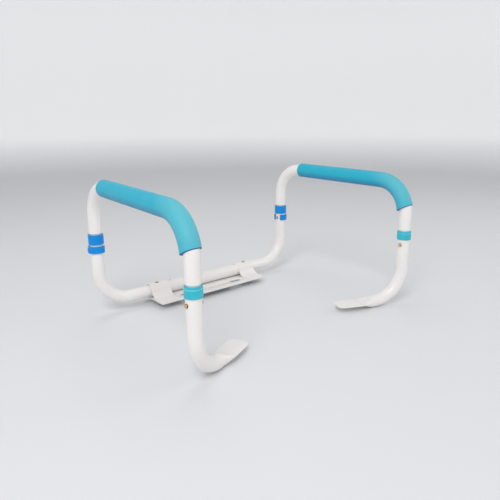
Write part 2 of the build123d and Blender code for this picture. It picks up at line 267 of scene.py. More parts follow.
class Route:
    """A flat polyline with rounded corners, walked by length.

    Its side is square to its plane, and its inner direction points into the bends.
    """

    def __init__(self, points, radii=(), side=None):
        points = [Vector(p) for p in points]
        self.parts = []
        here = points[0]
        for before, corner, after, radius in zip(points, points[1:], points[2:], radii):
            arriving, leaving = (corner - before).normalized(), (after - corner).normalized()
            turn = arriving.angle(leaving)
            cut = radius * math.tan(turn / 2)
            inward = (leaving - arriving * leaving.dot(arriving)).normalized()
            start = corner - arriving * cut
            self.parts.append(Line(here, start))
            self.parts.append(Arc(start, arriving, start + inward * radius, turn))
            here = corner + leaving * cut
            side = side or arriving.cross(leaving).normalized()
        self.parts.append(Line(here, points[-1]))
        self.side = side
        self.length = sum(part.length for part in self.parts)

    def at(self, s):
        """The point and the direction at length s."""
        for part in self.parts[:-1]:
            if s <= part.length:
                return part.at(s)
            s -= part.length
        return self.parts[-1].at(s)

    def offset_point(self, s, across, inner):
        """A point at length s, moved across along the route's side and inwards."""
        place, along = self.at(s)
        return place + self.side * across + self.side.cross(along) * inner

    def ring(self, s, radius):
        """A circle of points round the route."""
        turns = (2 * math.pi * k / SEGMENTS for k in range(SEGMENTS))
        return [self.offset_point(s, radius * math.sin(t), radius * math.cos(t)) for t in turns]

    def find(self, measure, start, end):
        """The length between start and end where a measure of the point reaches zero."""
        positive = measure(self.at(start)[0]) > 0
        for _ in range(40):
            middle = (start + end) / 2
            if (measure(self.at(middle)[0]) > 0) == positive:
                start = middle
            else:
                end = middle
        return start


def spread(start, end, step=STEP):
    """Even values from start to just before end, at most a step apart."""
    count = max(1, math.ceil(abs(end - start) / step))
    return [start + (end - start) * k / count for k in range(count)]


def arc_points(centre, radius, start, end, count):
    """Points of a circle from one angle to another, both included."""
    turns = [start + (end - start) * k / (count - 1) for k in range(count)]
    return [(centre[0] + radius * math.cos(t), centre[1] + radius * math.sin(t)) for t in turns]


def soften(outline, radius, steps=3):
    """A closed outline with its corners rounded."""
    softened = []
    points = [Vector(p) for p in outline]
    for i, corner in enumerate(points):
        before, after = points[i - 1] - corner, points[(i + 1) % len(points)] - corner
        reach = min(radius, before.length * ROUNDING_SHARE, after.length * ROUNDING_SHARE)
        start, end = corner + before.normalized() * reach, corner + after.normalized() * reach
        for k in range(steps + 1):
            t = k / steps
            softened.append(start * (1 - t) ** 2 + corner * 2 * t * (1 - t) + end * t**2)
    return softened


# ---------------------------------------------------------------- meshes


def skin(name, rings, closed=True, **shares):
    """A mesh through rings of points, either joined end to end or capped at both ends.

    Tone and deep give each point's share of its material's other colours.
    """
    mesh = bpy.data.meshes.new(name)
    bm = bmesh.new()
    made = [[bm.verts.new(p * MM) for p in ring] for ring in rings]
    ahead = made[1:] + made[:1] if closed else made[1:]
    for here, there in zip(made, ahead):
        for k in range(len(here)):
            bm.faces.new((here[k - 1], here[k], there[k], there[k - 1]))
    if not closed:
        bm.faces.new(made[0])
        bm.faces.new(made[-1])
    bmesh.ops.recalc_face_normals(bm, faces=bm.faces)
    bm.to_mesh(mesh)
    bm.free()
    points = [p for ring in rings for p in ring]
    for share, measure in shares.items():
        attribute = mesh.attributes.new(share, "FLOAT", "POINT")
        attribute.data.foreach_set("value", [measure(p) for p in points])
    return show(name, mesh)


def show(name, mesh):
    """An object with this mesh, in the scene."""
    obj = bpy.data.objects.new(name, mesh)
    bpy.context.scene.collection.objects.link(obj)
    return obj


def apply_modifiers(obj):
    """Make the object's modifiers part of its mesh."""
    graph = bpy.context.evaluated_depsgraph_get()
    mesh = bpy.data.meshes.new_from_object(obj.evaluated_get(graph))
    obj.modifiers.clear()
    obj.data = mesh


def combine(obj, other, operation):
    """Cut the other object out of this one, or unite the two."""
    modifier = obj.modifiers.new(operation, "BOOLEAN")
    modifier.operation = operation
    modifier.solver = "EXACT"
    modifier.object = other
    apply_modifiers(obj)
    bpy.data.objects.remove(other)


def bevel(obj, width):
    """Round the object's sharp edges."""
    modifier = obj.modifiers.new("edges", "BEVEL")
    modifier.width = width * MM
    modifier.segments = BEVEL_SEGMENTS
    modifier.limit_method = "ANGLE"
    modifier.angle_limit = BEVEL_ANGLE
    apply_modifiers(obj)


def drill(obj, start, direction, length, radius):
    """A round hole from a point along a direction."""
    start = Vector(start)
    route = Route((start, start + direction * length), side=direction.orthogonal().normalized())
    combine(obj, skin("drill", [route.ring(s, radius) for s in (0, length)], closed=False), "DIFFERENCE")


def turned(name, route, outline, **shares):
    """A hollow piece of revolution along a route, from a closed outline of (length, radius)."""
    rings = []
    for (s0, r0), (s1, r1) in zip(outline, outline[1:] + outline[:1]):
        steps = spread(0, 1, STEP / max(abs(s1 - s0), STEP))
        rings += [route.ring(s0 + (s1 - s0) * t, r0 + (r1 - r0) * t) for t in steps]
    return skin(name, rings, **shares)


def mirrored(obj, name):
    """The object's mirror image."""
    mesh = obj.data.copy()
    mesh.transform(Matrix.Diagonal((-1, 1, 1, 1)))
    mesh.flip_normals()
    return show(name, mesh)


def place(obj, body, slot, nodes, sharp=35):
    """Give a piece its finish, tie it to its body, and hide the CAD nodes it replaces."""
    obj.data.shade_smooth()
    obj.data.set_sharp_from_angle(angle=math.radians(sharp))
    obj.data.materials.clear()
    obj.data.materials.append(materials[slot])
    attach(obj, body)
    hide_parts(*nodes)


def place_pair(right, part, body, slot):
    """Place a right-hand piece and its mirror image."""
    left = mirrored(right, f"left_{part}_detailed")
    place(right, f"right_{body}", slot, [f"right_{part}"])
    place(left, f"left_{body}", slot, [f"left_{part}"])


# ---------------------------------------------------------------- materials


def linear(*colour):
    """A screen colour out of 255 as linear light."""
    return (*((c / 255) ** 2.2 for c in colour), 1)


class Finish:
    """A procedural material: base colour, mottling, a second tone, fine grain and gloss."""

    def __init__(self, name, colour, roughness, metallic=0.0, coat=0.0, coat_roughness=0.2, sheen=0.0):
        self.material = bpy.data.materials.new(name)
        self.material.use_nodes = True
        self.tree = self.material.node_tree
        self.shader = self.tree.nodes["Principled BSDF"]
        self.shader.inputs["Metallic"].default_value = metallic
        self.shader.inputs["Coat Weight"].default_value = coat
        self.shader.inputs["Coat Roughness"].default_value = coat_roughness
        self.shader.inputs["Sheen Weight"].default_value = sheen
        self.shader.inputs["Sheen Roughness"].default_value = 0.45
        self.roughness = roughness
        self.coordinates = self.tree.nodes.new("ShaderNodeTexCoord").outputs["Object"]
        self.colour = self.tree.nodes.new("ShaderNodeRGB").outputs[0]
        self.colour.default_value = linear(*colour)

    def noise(self, scale, detail=3.0, stretch=None):
        """Noise with this many features a metre."""
        node = self.tree.nodes.new("ShaderNodeTexNoise")
        node.inputs["Scale"].default_value = scale
        node.inputs["Detail"].default_value = detail
        source = self.coordinates
        if stretch:
            mapping = self.tree.nodes.new("ShaderNodeMapping")
            mapping.inputs["Scale"].default_value = stretch
            self.tree.links.new(source, mapping.inputs["Vector"])
            source = mapping.outputs["Vector"]
        self.tree.links.new(source, node.inputs["Vector"])
        return node.outputs["Fac"]

    def cells(self, scale):
        """Foam cells, as distances to their centres."""
        node = self.tree.nodes.new("ShaderNodeTexVoronoi")
        node.inputs["Scale"].default_value = scale
        self.tree.links.new(self.coordinates, node.inputs["Vector"])
        return node.outputs["Distance"]

    def ranged(self, value, low, high, to_low, to_high):
        """The value's range changed to another."""
        node = self.tree.nodes.new("ShaderNodeMapRange")
        for name, number in zip(("From Min", "From Max", "To Min", "To Max"), (low, high, to_low, to_high)):
            node.inputs[name].default_value = number
        self.tree.links.new(value, node.inputs["Value"])
        return node.outputs["Result"]

    def mix(self, share, colour):
        """Mix another colour into the base by a share."""
        node = self.tree.nodes.new("ShaderNodeMix")
        node.data_type = "RGBA"
        self.tree.links.new(share, node.inputs["Factor"])
        self.tree.links.new(self.colour, node.inputs["A"])
        node.inputs["B"].default_value = linear(*colour)
        self.colour = node.outputs["Result"]

    def marked(self, share, colour):
        """Another colour where the mesh's tone or deep asks for it."""
        node = self.tree.nodes.new("ShaderNodeAttribute")
        node.attribute_name = share
        self.mix(node.outputs["Fac"], colour)

    def upward(self, low, high):
        """How far the surface faces up, from 0 to 1 between two heights of its normal."""
        geometry = self.tree.nodes.new("ShaderNodeNewGeometry")
        parts = self.tree.nodes.new("ShaderNodeSeparateXYZ")
        self.tree.links.new(geometry.outputs["Normal"], parts.inputs["Vector"])
        return self.ranged(parts.outputs["Z"], low, high, 0, 1)

    def bump(self, height, strength, distance):
        """Fine relief, on top of any relief that is there already."""
        node = self.tree.nodes.new("ShaderNodeBump")
        node.inputs["Strength"].default_value = strength
        node.inputs["Distance"].default_value = distance * MM
        self.tree.links.new(height, node.inputs["Height"])
        normal = self.shader.inputs["Normal"]
        if normal.is_linked:
            self.tree.links.new(normal.links[0].from_socket, node.inputs["Normal"])
        self.tree.links.new(node.outputs["Normal"], normal)

    def height(self):
        """Height above the frame's origin."""
        parts = self.tree.nodes.new("ShaderNodeSeparateXYZ")
        self.tree.links.new(self.coordinates, parts.inputs["Vector"])
        return parts.outputs["Z"]

    def glow(self, strength):
        """A white glow of this strength."""
        self.shader.inputs["Emission Color"].default_value = (1, 1, 1, 1)
        self.tree.links.new(strength, self.shader.inputs["Emission Strength"])

    def done(self, gloss_noise, gloss_change):
        """Join up the colour and a roughness that varies a little."""
        self.tree.links.new(self.colour, self.shader.inputs["Base Color"])
        low, high = self.roughness - gloss_change, self.roughness + gloss_change
        rough = self.ranged(gloss_noise, 0.3, 0.7, low, high)
        self.tree.links.new(rough, self.shader.inputs["Roughness"])
        return self.material


def powder_coat(name, colour, shade):
    """White powder coat with a faint orange peel."""
    finish = Finish(name, colour, 0.34, coat=0.3, coat_roughness=0.18)
    finish.mix(finish.ranged(finish.noise(14, 3), 0.25, 0.75, 0, 0.45), shade)
    finish.bump(finish.noise(420, 1), 0.1, 0.02)
    return finish.done(finish.noise(60, 3), 0.04)


def foam():
    """Closed-cell foam with a satin skin, paler on the outer side of the front bend, with painted shade on
    its underside and at its slanted front end.
    """
    finish = Finish("foam_turquoise", (24, 172, 200), 0.6, sheen=0.12)
    finish.mix(finish.ranged(finish.noise(26, 4), 0.35, 0.72, 0, 0.4), (40, 178, 202))
    # Paler on the outer side of the front bend, where the mesh's tone marks it.
    finish.marked("tone", (100, 190, 202))
    # Painted shade: deeper blue where the surface faces down.
    finish.mix(finish.ranged(finish.upward(-1, 1), 0.02, 0.5, 0.75, 0), (16, 100, 168))
    # Painted shade: deep blue on the cut foam at the slanted front end, where the mesh's deep marks it.
    finish.marked("deep", (10, 70, 134))
    finish.mix(finish.ranged(finish.cells(1500), 0.1, 0.45, 0.18, 0), (14, 110, 156))
    finish.bump(finish.cells(1500), 0.3, 0.08)
    finish.bump(finish.noise(190, 3), 0.15, 0.15)
    return finish.done(finish.noise(45), 0.07)


def plastic(name, colour, deep, pale, gloss):
    """Moulded plastic with a soft gloss, and a painted highlight where the mesh's tone marks it."""
    finish = Finish(name, colour, 0.35, coat=0.15 * gloss)
    finish.shader.inputs["Specular IOR Level"].default_value = 0.5 * gloss
    finish.mix(finish.ranged(finish.noise(40, 2), 0.35, 0.7, 0, 0.4), deep)
    # Painted highlight where the mesh's tone marks it.
    finish.marked("tone", pale)
    finish.bump(finish.noise(1100, 2), 0.1, 0.02)
    return finish.done(finish.noise(120), 0.06)


def brass():
    """Polished brass with fine scratches, and a painted dark reflection round the dome's foot."""
    finish = Finish("button_brass", (228, 196, 138), 0.2, metallic=1.0)
    finish.mix(finish.ranged(finish.noise(700, 3), 0.45, 0.7, 0, 0.4), (190, 148, 84))
    # Painted dark reflection where the mesh's tone marks it.
    finish.marked("tone", (78, 62, 36))
    finish.bump(finish.noise(2600, 2, (1, 0.08, 1)), 0.2, 0.01)
    return finish.done(finish.noise(900), 0.06)


def steel():
    """Spring steel with a drawn grain."""
    finish = Finish("spring_steel", (150, 152, 156), 0.37, metallic=1.0)
    finish.mix(finish.ranged(finish.noise(300, 3), 0.4, 0.7, 0, 0.6), (108, 110, 116))
    finish.bump(finish.noise(1500, 2, (1, 1, 0.05)), 0.2, 0.01)
    return finish.done(finish.noise(500), 0.07)


def rubber():
    """Soft pad with a matt, lightly pebbled face."""
    finish = Finish("pad_rubber", (196, 198, 200), 0.72)
    finish.mix(finish.ranged(finish.noise(80, 3), 0.35, 0.7, 0, 0.5), (170, 173, 176))
    finish.bump(finish.cells(900), 0.4, 0.1)
    return finish.done(finish.noise(150), 0.06)


materials = {
    "tube_white": powder_coat("tube_white", (242, 238, 235), (230, 226, 222)),
    "bracket_white": powder_coat("bracket_white", (239, 235, 232), (226, 222, 218)),
    "foam_turquoise": foam(),
    "collar_turquoise": plastic("collar_turquoise", (48, 186, 204), (34, 166, 194), (124, 216, 224), 1),
    "collar_blue": plastic("collar_blue", (0, 140, 220), (0, 116, 200), (60, 166, 236), 0.5),
    "button_brass": brass(),
    "spring_steel": steel(),
    "pad_rubber": rubber(),
}


# ---------------------------------------------------------------- side rails


def tube_outline(length, wall_out, wall_in):
    """A plain tube's wall, open at both ends."""
    return soften([(0, wall_out), (length, wall_out), (length, wall_in), (0, wall_in)], LIP_SOFT)


def rail_route(front_sag, front_bend_r, rear_low_z, front_low_z):
    """The rail's axis, its front upright standing front_sag behind the front leg's axis."""
    lean = (REAR_POST[0] - FRONT_POST[0]) / (REAR_POST[1] - FRONT_POST[1])
    front = (FRONT_POST[0] + front_sag * lean, FRONT_POST[1] + front_sag)
    points = (
        (*REAR_POST, rear_low_z),
        (*REAR_POST, REAR_CORNER_Z),
        (*front, FRONT_CORNER_Z),
        (*front, front_low_z),
    )
    return Route(points, (REAR_BEND_R, front_bend_r))


def handle_tube():
    """One bent tube, swaged at both ends to stems that plug into the legs."""
    rear_low_z, front_low_z = REAR_SHOULDER_Z - STEM_LENGTH, FRONT_SHOULDER_Z - STEM_LENGTH
    route = rail_route(0, FRONT_BEND_R, rear_low_z, front_low_z)
    end = route.length
    swaged = STEM_LENGTH + SWAGE_LENGTH
    outline = [
        (0, STEM_R),
        (STEM_LENGTH, STEM_R),
        (swaged, TUBE_R),
        (end - swaged, TUBE_R),
        (end - STEM_LENGTH, STEM_R),
        (end, STEM_R),
        (end, STEM_BORE_R),
        (end - STEM_LENGTH, STEM_BORE_R),
        (end - swaged, TUBE_BORE_R),
        (swaged, TUBE_BORE_R),
        (STEM_LENGTH, STEM_BORE_R),
        (0, STEM_BORE_R),
    ]
    tube = turned("right_handle_tube_detailed", route, soften(outline, SWAGE_SOFT))
    for post, z in ((REAR_POST, REAR_BUTTON_Z), (FRONT_POST, FRONT_BUTTON_Z)):
        drill(tube, (post[0] - TUBE_R, post[1], z), AXIS_X, 2 * TUBE_R, STEM_HOLE_R)
    return tube


def grip(side):
    """The foam sleeve along the rail and round its front bend, its front end cut on a slant."""
    outer = rail_route(GRIP_SAG, GRIP_BEND_R, REAR_SHOULDER_Z, FRONT_SHOULDER_Z)
    bore = rail_route(0, FRONT_BEND_R, REAR_SHOULDER_Z, FRONT_SHOULDER_Z)
    bend_from = sum(part.length for part in outer.parts[:3])
    bend_length = outer.parts[3].length
    bend_centre = outer.parts[3].centre
    front = Vector((*FRONT_POST, GRIP_FRONT_Z))
    slant = Vector((0, math.sin(GRIP_FRONT_TILT), math.cos(GRIP_FRONT_TILT)))

    def span(route):
        """The lengths of a route where the grip starts and ends."""
        bend = sum(part.length for part in route.parts[:3])
        start = route.find(lambda p: p.y - GRIP_REAR_Y[side], route.parts[0].length, bend)
        return start, route.find(lambda p: (p - front).dot(slant), bend, route.length)

    def slanted(route, s, end, points):
        """A ring, leaning as it comes near the slanted end."""
        near = max(0.0, 1 - (end - s) / GRIP_SLANT_REACH)
        lean = near * near * (3 - 2 * near)
        centre, along = route.at(s)
        return [p - along * (p - centre).dot(slant) / along.dot(slant) * lean for p in points]

    def skin_ring(s, radius):
        """A ring of the outer skin, with faint lumps and the bend's compression wrinkles."""
        centre = outer.at(s)[0]
        bend = max(0.0, min(1.0, (s - bend_from) / bend_length))
        wave = (math.sin(2 * math.pi * s / GRIP_WRINKLE_PITCH) - 1) * math.sin(math.pi * bend) ** 2
        ring = []
        for k, p in enumerate(outer.ring(s, radius)):
            inner = max(0.0, math.cos(2 * math.pi * k / SEGMENTS)) ** 2
            lump = (noise.noise(p / GRIP_LUMP_SIZE) - 1) * GRIP_LUMP
            ring.append(p + (p - centre).normalized() * (lump + wave * GRIP_WRINKLE * inner / 2))
        return ring

    def outer_bend_share(p):
        """How far a point lies towards the outer side of the front bend, for a paler colour there."""
        reach = (p - bend_centre).dot(Vector((0, -1, 1)).normalized()) / (GRIP_BEND_R + GRIP_R)
        return max(0.0, min(1.0, (reach - OUTER_BEND_FROM) / OUTER_BEND_SPAN)) * OUTER_BEND_MOST

    def cut(p):
        """Painted shade on the cut foam at the slanted end."""
        return 1.0 if (p - front).dot(slant) < GRIP_FRONT_EDGE * GRIP_CUT_SHADE_SHARE else 0.0

    def rounding(edge):
        """Steps of (length, radius) round the sleeve's rim."""
        turns = [math.pi / 2 * k / GRIP_RIM_STEPS for k in range(GRIP_RIM_STEPS + 1)]
        return [(edge * (1 - math.cos(t)), GRIP_R - edge * (1 - math.sin(t))) for t in turns]

    start, end = span(outer)
    stations = [(start + s, radius) for s, radius in rounding(GRIP_REAR_EDGE)]
    straight = spread(start + GRIP_REAR_EDGE, end - GRIP_FRONT_EDGE, GRIP_STEP)[1:]
    stations += [(s, GRIP_R) for s in straight]
    stations += [(end - s, radius) for s, radius in reversed(rounding(GRIP_FRONT_EDGE))]
    rings = [slanted(outer, s, end, skin_ring(s, radius)) for s, radius in stations]
    bore_start, bore_end = span(bore)
    stations = [(bore_end, GRIP_BORE_R + GRIP_LIP)]
    stations += [(s, GRIP_BORE_R) for s in spread(bore_end - GRIP_LIP, bore_start + GRIP_LIP)]
    stations += [(bore_start + GRIP_LIP, GRIP_BORE_R), (bore_start, GRIP_BORE_R + GRIP_LIP)]
    rings += [slanted(bore, s, bore_end, bore.ring(s, radius)) for s, radius in stations]
    return skin(f"{side}_handle_grip_foam", rings, tone=outer_bend_share, deep=cut)


# ---------------------------------------------------------------- legs


def rear_leg():
    """The bent tube from the rear collar down and in to the bracket."""
    points = (
        (*REAR_POST, REAR_LEG_TOP_Z),
        (*REAR_POST, CROSS_AXIS_Z),
        (REAR_LEG_INNER_X, REAR_POST[1], CROSS_AXIS_Z),
    )
    route = Route(points, (REAR_LEG_BEND_R,))
    leg = turned("right_rear_leg_detailed", route, tube_outline(route.length, TUBE_R, TUBE_BORE_R))
    hole_start = (REAR_POST[0] - 2 * TUBE_R, REAR_POST[1], REAR_BUTTON_Z)
    drill(leg, hole_start, AXIS_X, 4 * TUBE_R, LEG_HOLE_R)
    drill(leg, (WIDTH_BUTTON_X, REAR_POST[1], CROSS_AXIS_Z), AXIS_Z, 2 * TUBE_R, STEM_HOLE_R)
    return leg


def pressed(turn, share, half_width, half_thick):
    """A point of the front leg's section at this turn: round at share 0, flat at share 1."""
    up, across = math.cos(turn), math.sin(turn)
    folded = math.atan2(abs(across), abs(up))
    edge = min(STRIP_EDGE, half_thick)
    side_from = math.pi / 2 - FLAT_SIDE_ANGLE
    if folded <= FLAT_TOP_ANGLE:
        flat_across, flat_up = (half_width - edge) * folded / FLAT_TOP_ANGLE, half_thick
    elif folded <= side_from:
        corner = (folded - FLAT_TOP_ANGLE) / (side_from - FLAT_TOP_ANGLE) * math.pi / 2
        flat_across = half_width - edge + edge * math.sin(corner)
        flat_up = half_thick - edge + edge * math.cos(corner)
    else:
        flat_across = half_width
        flat_up = (half_thick - edge) * (math.pi / 2 - folded) / FLAT_SIDE_ANGLE
    round_part, flat_part = TUBE_R * (1 - share), share
    return (
        across * round_part + math.copysign(flat_across, across) * flat_part,
        up * round_part + math.copysign(flat_up, up) * flat_part,
    )


def front_leg():
    """The bent tube from the front collar down and in, pressed flat where it lies on the rim."""
    corner = Vector((*FRONT_POST, STRIP_HALF_THICK))
    top = Vector((*FRONT_POST, FRONT_LEG_TOP_Z))
    route = Route((top, corner, corner + HEADING * STRIP_END), (FRONT_LEG_BEND_R,))
    reach_from = route.length - STRIP_END
    crush_from = reach_from + FRONT_LEG_BEND_R
    crush_to = reach_from + CRUSH_END
    corner_from = route.length - STRIP_CORNER_R
    turns = [2 * math.pi * k / SEGMENTS for k in range(SEGMENTS)]

    def flat_ring(s):
        """A ring of the pressed end, rounded in plan at the tip."""
        share = min(1.0, (s - crush_from) / (crush_to - crush_from))
        past = max(0.0, s - corner_from)
        half_width = STRIP_HALF_WIDTH - STRIP_CORNER_R + math.sqrt(STRIP_CORNER_R**2 - past**2)
        tip = max(0.0, 1 - (route.length - s) / STRIP_EDGE)
        half_thick = STRIP_HALF_THICK - STRIP_EDGE * (1 - math.sqrt(1 - tip**2))
        return [route.offset_point(s, *pressed(t, share, half_width, half_thick)) for t in turns]

    bore_end = reach_from + BORE_CLOSED_AT
    rings = [route.ring(s, TUBE_BORE_R) for s in spread(bore_end, LIP_SOFT)]
    wall = TUBE_R - TUBE_BORE_R
    rings += [
        route.ring(LIP_SOFT * (1 - math.sin(a)), TUBE_BORE_R + wall / 2 * (1 - math.cos(a)))
        for a in (math.pi * k / 6 for k in range(7))
    ]
    rings += [route.ring(s, TUBE_R) for s in spread(LIP_SOFT, crush_from)[1:]]
    rings += [flat_ring(s) for s in spread(crush_from, crush_to, CRUSH_STEP)]
    rings += [flat_ring(s) for s in spread(crush_to, corner_from, STRIP_STEP)]
    for k in range(CORNER_STEPS):
        rings.append(flat_ring(corner_from + STRIP_CORNER_R * math.sin(math.pi / 2 * k / CORNER_STEPS)))
    rings += [flat_ring(route.length - STRIP_EDGE * share) for share in TIP_STEPS]
    leg = skin("right_front_leg_detailed", rings, closed=False)
    hole_start = (FRONT_POST[0] - 2 * TUBE_R, FRONT_POST[1], FRONT_BUTTON_Z)
    drill(leg, hole_start, AXIS_X, 4 * TUBE_R, LEG_HOLE_R)
    return leg


# ---------------------------------------------------------------- collars


def upright(post, low_z, high_z):
    """A straight route up a post."""
    return Route(((*post, low_z), (*post, high_z)), side=AXIS_X)


def lipped(height, outer_r):
    """The outline of a ring whose top lip reaches in over the tube's mouth."""
    return [
        (0, COLLAR_BORE_R),
        (0, outer_r),
        (height, outer_r),
        (height, COLLAR_LIP_BORE_R),
        (height - COLLAR_LIP, COLLAR_LIP_BORE_R),
        (height - COLLAR_LIP, COLLAR_BORE_R),
    ]


def front_collar():
    """The plain collar on the front leg's mouth, with a stepped cap and a guiding lip."""
    height = FRONT_LEG_TOP_Z + COLLAR_LIP - FRONT_COLLAR_LOW_Z
    route = upright(FRONT_POST, FRONT_COLLAR_LOW_Z, FRONT_LEG_TOP_Z + COLLAR_LIP)
    outline = lipped(height, FRONT_COLLAR_R)
    step = height - FRONT_COLLAR_CAP
    outline[2:3] = [
        (step - FRONT_COLLAR_CHAMFER, FRONT_COLLAR_R),
        (step, FRONT_COLLAR_CAP_R),
        (height, FRONT_COLLAR_CAP_R),
    ]
    chamfer_z = FRONT_COLLAR_LOW_Z + step - FRONT_COLLAR_CHAMFER / 2

    def chamfer_highlight(p):
        """Painted highlight on the step's chamfer."""
        return FRONT_COLLAR_HIGHLIGHT if abs(p.z - chamfer_z) < FRONT_COLLAR_CHAMFER else 0.0

    return turned("right_front_collar_detailed", route, soften(outline, COLLAR_SOFT), tone=chamfer_highlight)


def around(post, turn, radius, z):
    """A point round a post, turn being measured from +X."""
    return Vector((post[0] + radius * math.cos(turn), post[1] + radius * math.sin(turn), z))


def rear_band():
    """The open band, bulging over the outer button on the side away from the bowl."""
    first = math.asin(REAR_OPENING_BACK / REAR_BAND_R)
    last = 2 * math.pi - math.asin(REAR_OPENING_FRONT / REAR_BAND_R)
    middle_z = (REAR_BAND_LOW_Z + REAR_BAND_HIGH_Z) / 2
    half = (REAR_BAND_HIGH_Z - REAR_BAND_LOW_Z) / 2
    outline = [(-half, COLLAR_BORE_R), (-half, REAR_BAND_R)]
    outline += [(z, REAR_BAND_R) for z in spread(-half, half, BAND_HEIGHT_STEP)[1:]]
    outline += [(half, REAR_BAND_R), (half, COLLAR_BORE_R)]
    outline = soften(outline, COLLAR_SOFT * BAND_SOFTER)
    rings = []
    for turn in spread(first, last, BAND_TURN_STEP) + [last]:
        ring = []
        for z, radius in outline:
            away = math.hypot((turn - math.pi) * REAR_BAND_R, middle_z + z - REAR_BUTTON_Z)
            rise = max(0.0, min(1.0, (BULGE_FOOT_R - away) / (BULGE_FOOT_R - BULGE_FLAT_R)))
            skin_share = max(0.0, min(1.0, (radius - REAR_RING_R) / (REAR_BAND_R - REAR_RING_R)))
            swell = BULGE_HEIGHT * rise * rise * (3 - 2 * rise) * skin_share
            ring.append(around(REAR_POST, turn, radius + swell, middle_z + z))
        rings.append(ring)
    return skin("band", rings, closed=False)


def rear_bridge():
    """The tab at the back that joins the ring to the band."""
    half_turn = math.asin(REAR_BRIDGE_HALF_WIDTH / REAR_RING_R)
    first, last = math.pi / 2 - half_turn, math.pi / 2 + half_turn
    low_z, high_z = REAR_BAND_HIGH_Z - BRIDGE_OVERLAP, REAR_RING_LOW_Z + BRIDGE_OVERLAP
    outer_r = REAR_RING_R - BRIDGE_INSET
    corners = ((COLLAR_BORE_R, low_z), (outer_r, low_z), (outer_r, high_z), (COLLAR_BORE_R, high_z))
    rings = []
    for turn in spread(first, last, BAND_TURN_STEP) + [last]:
        rings.append([around(REAR_POST, turn, radius, z) for radius, z in corners])
    return skin("bridge", rings, closed=False)


def rear_collar():
    """The closed ring on the rear leg's mouth, bridged at the back to the open band below it."""
    height = REAR_LEG_TOP_Z + COLLAR_LIP - REAR_RING_LOW_Z
    route = upright(REAR_POST, REAR_RING_LOW_Z, REAR_LEG_TOP_Z + COLLAR_LIP)
    outline = soften(lipped(height, REAR_RING_R), COLLAR_SOFT)
    collar = turned("right_rear_collar_detailed", route, outline)
    combine(collar, rear_bridge(), "UNION")
    combine(collar, rear_band(), "UNION")
    drill(collar, (REAR_POST[0], REAR_POST[1], REAR_BUTTON_Z), -AXIS_X, POCKET_OUT, POCKET_R)
    return collar


# ---------------------------------------------------------------- snap buttons


def button(name, origin, direction, base, tip):
    """A domed snap button, with a painted dark reflection round the dome's foot."""
    origin = Vector(origin)
    route = Route((origin, origin + direction * tip), side=direction.orthogonal().normalized())
    rings = [route.ring(s, BUTTON_R) for s in spread(base, tip - BUTTON_DOME, BUTTON_STEP)]
    for k in range(DOME_STEPS):
        rise = math.pi / 2 * k / DOME_STEPS
        height = tip - BUTTON_DOME * (1 - math.sin(rise))
        rings.append(route.ring(height, BUTTON_R * math.cos(rise) ** DOME_FULLNESS))
    rings.append(route.ring(tip, DOME_TIP_R))

    def dark_reflection(p):
        """Painted dark reflection round the dome's foot."""
        height = (p - origin).dot(direction)
        below = tip - BUTTON_DOME * DARK_REFLECTION_HEIGHT - height
        return max(0.0, min(1.0, below / DARK_REFLECTION_FADE)) * DARK_REFLECTION_MOST

    return skin(name, rings, closed=False, tone=dark_reflection)


# ---------------------------------------------------------------- bracket


def plan_loop(centres, radius, steps=8):
    """Points round four corner centres, listed anticlockwise from the far right one."""
    loop = []
    for quarter, centre in enumerate(centres):
        loop += arc_points(centre, radius, quarter * math.pi / 2, (quarter + 1) * math.pi / 2, steps)
    return loop


def plate_loops(inset, shrink):
    """The bracket's outline and its two slots in plan, with the solid shrunk by a little."""
    half_x = PLATE_HALF_X - inset - PLATE_CORNER_R
    low_y, high_y = PLATE_FRONT_Y + inset + PLATE_CORNER_R, PLATE_REAR_Y - inset - PLATE_CORNER_R
    corners = ((half_x, high_y), (-half_x, high_y), (-half_x, low_y), (half_x, low_y))
    loops = [plan_loop(corners, PLATE_CORNER_R - shrink)]
    for x in (-SLOT_CENTRE_X, SLOT_CENTRE_X):
        right, left = (x + SLOT_HALF_RUN, 0), (x - SLOT_HALF_RUN, 0)
        loops.append(plan_loop((right, left, left, right), SLOT_R + shrink))
    return loops


def layer(name, low_z, high_z, inset):
    """A flat layer of the bracket with softened edges and the bolt slots through it."""
    step = EDGE_STEP_SHARE * PLATE_EDGE
    levels = [(low_z, PLATE_EDGE), (low_z + step, step), (low_z + PLATE_EDGE, 0)]
    levels += [(low_z + high_z - z, shrink) for z, shrink in reversed(levels)]
    bm = bmesh.new()
    made = []
    for z, shrink in levels:
        loops = plate_loops(inset, shrink)
        made.append([[bm.verts.new((x * MM, y * MM, z * MM)) for x, y in loop] for loop in loops])
    for here, there in zip(made, made[1:]):
        for low_loop, high_loop in zip(here, there):
            for k in range(len(low_loop)):
                bm.faces.new((low_loop[k - 1], low_loop[k], high_loop[k], high_loop[k - 1]))
    bmesh.ops.remove_doubles(bm, verts=bm.verts, dist=SAME_PLACE)

    def rim(z):
        """The edges that lie at height z."""
        return [e for e in bm.edges if all(abs(v.co.z - z * MM) < SAME_PLACE for v in e.verts)]

    for edges in [rim(z) for z in (low_z, high_z)]:
        bmesh.ops.triangle_fill(bm, edges=edges, use_beauty=True)
    bmesh.ops.recalc_face_normals(bm, faces=bm.faces)
    mesh = bpy.data.meshes.new(name)
    bm.to_mesh(mesh)
    bm.free()
    return show(name, mesh)


def cross_tube():
    """The tube that both rear legs slide into, with two width holes on top at each end."""
    half = PLATE_HALF_X - CROSS_RECESS
    ends = ((-half, REAR_POST[1], CROSS_AXIS_Z), (half, REAR_POST[1], CROSS_AXIS_Z))
    outline = tube_outline(2 * half, CROSS_R, CROSS_BORE_R)
    tube = turned("cross_tube_detailed", Route(ends, side=AXIS_Y), outline)
    for x in (WIDTH_BUTTON_X, WIDTH_BUTTON_X + WIDTH_STEP):
        for hole_x in (x, -x):
            drill(tube, (hole_x, REAR_POST[1], CROSS_AXIS_Z), AXIS_Z, 2 * CROSS_R, LEG_HOLE_R)
    return tube


